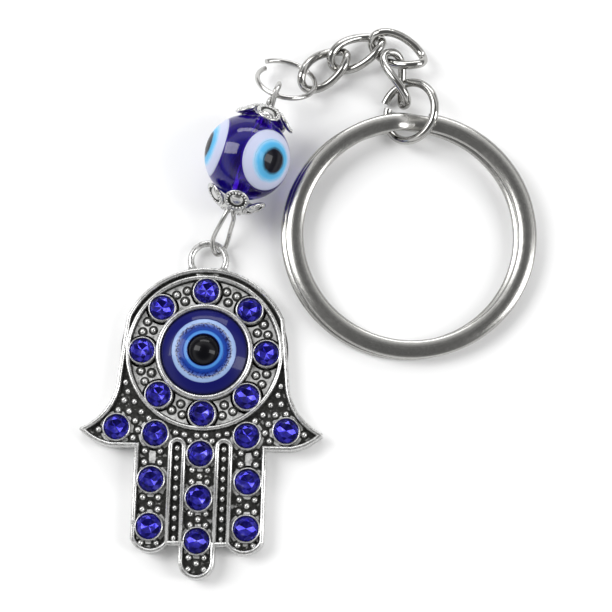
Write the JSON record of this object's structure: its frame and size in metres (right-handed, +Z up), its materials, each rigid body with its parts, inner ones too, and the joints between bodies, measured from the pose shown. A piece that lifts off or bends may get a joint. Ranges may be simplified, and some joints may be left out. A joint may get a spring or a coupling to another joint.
{
  "type": "evil eye key charm",
  "caption": "Hamsa hand charm with blue stones and a domed eye, hung through a glass eye bead and a short twisted chain from a split key ring.",
  "frame": {"origin": "bottom centre of the bounding box of the charm lying on its back", "axes": "+Z up out of the surface it lies on, +Y from the fingertips towards the chain, +X towards the key ring"},
  "size_m": [0.053, 0.0654, 0.01],
  "materials": {
    "antique_silver": "cast zinc alloy, antique silver plating, bright rims and dark recesses",
    "cap_silver": "antique silver plated flower cap",
    "nickel_wire": "bright nickel plated round wire",
    "ring_steel": "tumbled nickel plated flat steel strip",
    "sapphire_stone": "faceted sapphire blue glass",
    "navy_glass": "dark navy translucent glass",
    "pale_blue_enamel": "pale blue white glaze under a clear coat",
    "speckled_enamel": "dark blue glaze speckled white",
    "mid_blue_enamel": "medium blue glaze",
    "black_glass": "opaque black glass",
    "cobalt_glass": "transparent cobalt glass",
    "white_glass": "opaque white glass",
    "sky_glass": "opaque sky blue glass"
  },
  "bodies": {
    "hand": {"hand_casting": "antique_silver", "stone_01": "sapphire_stone", "stone_02": "sapphire_stone", "stone_03": "sapphire_stone", "stone_04": "sapphire_stone", "stone_05": "sapphire_stone", "stone_06": "sapphire_stone", "stone_07": "sapphire_stone", "stone_08": "sapphire_stone", "stone_09": "sapphire_stone", "stone_10": "sapphire_stone", "stone_11": "sapphire_stone", "stone_12": "sapphire_stone", "stone_13": "sapphire_stone", "stone_14": "sapphire_stone", "stone_15": "sapphire_stone", "stone_16": "sapphire_stone", "stone_17": "sapphire_stone", "stone_18": "sapphire_stone", "stone_19": "sapphire_stone", "eye_base": "navy_glass", "eye_iris_ring": "mid_blue_enamel", "eye_pupil": "black_glass", "eye_speckle_ring": "speckled_enamel", "eye_white_ring": "pale_blue_enamel"},
    "pin": {"hairpin_wire": "nickel_wire"},
    "bead": {"bead_glass": "cobalt_glass", "bead_iris_1": "sky_glass", "bead_iris_2": "sky_glass", "bead_iris_3": "sky_glass", "bead_pupil_1": "black_glass", "bead_pupil_2": "black_glass", "bead_pupil_3": "black_glass", "bead_white_1": "white_glass", "bead_white_2": "white_glass", "bead_white_3": "white_glass"},
    "top_cap": {"top_bead_cap": "cap_silver"},
    "bottom_cap": {"bottom_bead_cap": "cap_silver"},
    "thin_ring": {"jump_ring": "nickel_wire"},
    "link_1": {"chain_link_1": "nickel_wire"},
    "link_2": {"chain_link_2": "nickel_wire"},
    "link_3": {"chain_link_3": "nickel_wire"},
    "link_4": {"chain_link_4": "nickel_wire"},
    "heavy_ring": {"heavy_jump_ring": "nickel_wire"},
    "key_ring": {"split_key_ring": "ring_steel"}
  },
  "joints": [
    {"name": "pin_swing", "type": "hinge", "parent": "hand", "child": "pin", "pos_m": [-0.01094, 0.00611, 0.00124], "axis": [0.8526, -0.5225, 0], "range_deg": [-25, 20]},
    {"name": "bead_spin", "type": "hinge", "parent": "pin", "child": "bead", "pos_m": [-0.00706, 0.01573, 0.005], "axis": [0.3402, 0.9345, 0.1045], "continuous": true},
    {"name": "top_cap_spin", "type": "hinge", "parent": "pin", "child": "top_cap", "pos_m": [-0.00706, 0.01573, 0.005], "axis": [0.3402, 0.9345, 0.1045], "continuous": true},
    {"name": "bottom_cap_spin", "type": "hinge", "parent": "pin", "child": "bottom_cap", "pos_m": [-0.00713, 0.01554, 0.00498], "axis": [0.3402, 0.9345, 0.1045], "continuous": true},
    {"name": "thin_ring_swing", "type": "hinge", "parent": "pin", "child": "thin_ring", "pos_m": [-0.00453, 0.02375, 0.00478], "axis": [0.8706, -0.4717, 0.1394], "range_deg": [-45, 45]},
    {"name": "link_1_swing", "type": "hinge", "parent": "thin_ring", "child": "link_1", "pos_m": [0.00058, 0.02557, 0.00117], "axis": [0.9729, 0.2256, -0.0512], "range_deg": [-10, 50]},
    {"name": "link_2_swing", "type": "hinge", "parent": "link_1", "child": "link_2", "pos_m": [0.00392, 0.02803, 0.00203], "axis": [0.496, 0.858, 0.1336], "range_deg": [0, 70]},
    {"name": "link_3_swing", "type": "hinge", "parent": "link_2", "child": "link_3", "pos_m": [0.00865, 0.03143, 0.00205], "axis": [-0.1687, 0.6878, -0.706], "range_deg": [-80, 0]},
    {"name": "link_4_swing", "type": "hinge", "parent": "link_3", "child": "link_4", "pos_m": [0.01021, 0.02831, 0.00242], "axis": [0.8576, -0.3402, 0.3858], "range_deg": [0, 80]},
    {"name": "heavy_ring_swing", "type": "hinge", "parent": "link_4", "child": "heavy_ring", "pos_m": [0.01089, 0.02512, 0.00068], "axis": [-0.0628, -0.9942, 0.0869], "range_deg": [-65, 15]},
    {"name": "key_ring_swing", "type": "hinge", "parent": "heavy_ring", "child": "key_ring", "pos_m": [0.0115, 0.021, 0.00251], "axis": [1, 0, 0], "range_deg": [-10, 20]}
  ]
}
